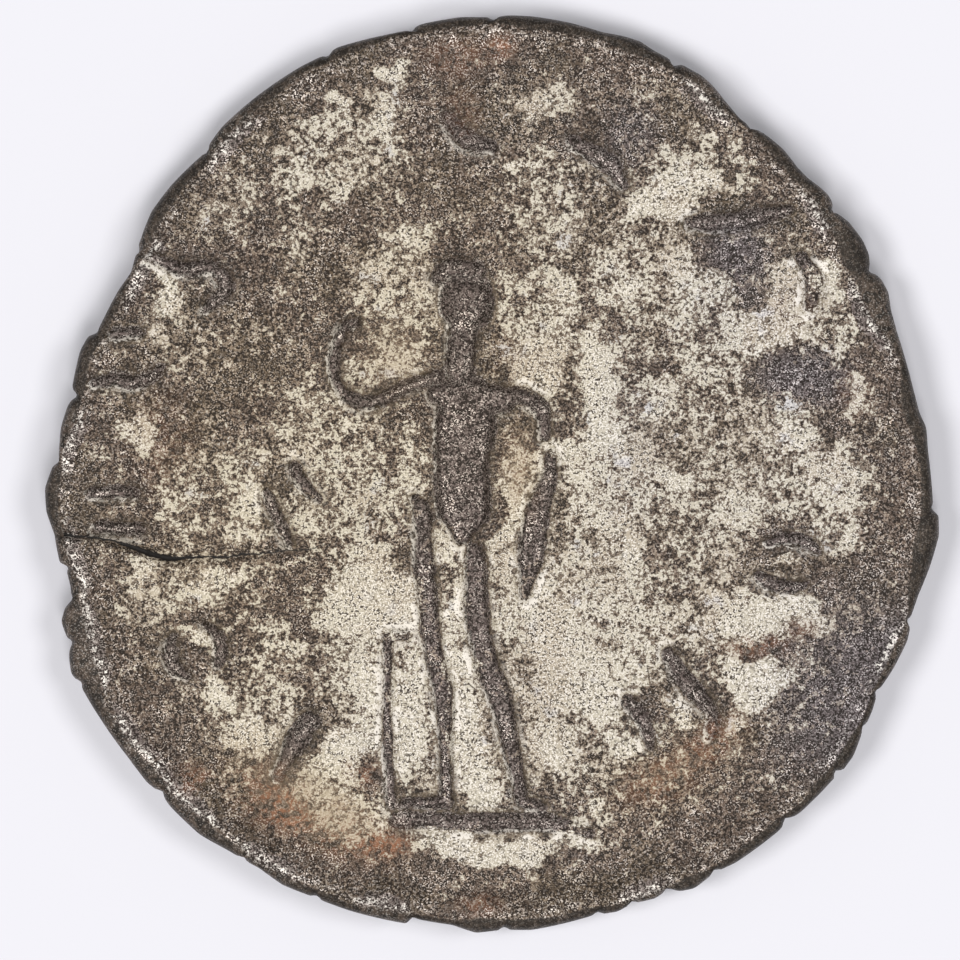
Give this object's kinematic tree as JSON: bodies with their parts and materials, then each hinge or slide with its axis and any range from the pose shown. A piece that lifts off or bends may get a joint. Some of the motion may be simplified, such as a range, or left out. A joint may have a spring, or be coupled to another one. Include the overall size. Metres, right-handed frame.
{
  "type": "silver antoninianus",
  "caption": "Worn hammered silver coin with a standing cloaked figure on the upper face, a radiate bust below, an uneven cracked edge and toned, patchy silver surfaces.",
  "frame": {"origin": "middle of the coin's outline, at the plane that its portrait side rests on", "axes": "+Z out of the standing-figure side, through the thickness; +Y towards the figure's head; +X to the right of the figure side seen from above"},
  "size_m": [0.0214, 0.022, 0.0017],
  "materials": {
    "toned_silver": "worn debased silver, dark grey-brown toning with granular pale silver patches, fine pitting and thin rust-brown stains"
  },
  "bodies": {
    "root": {"coin": "toned_silver"}
  },
  "joints": []
}
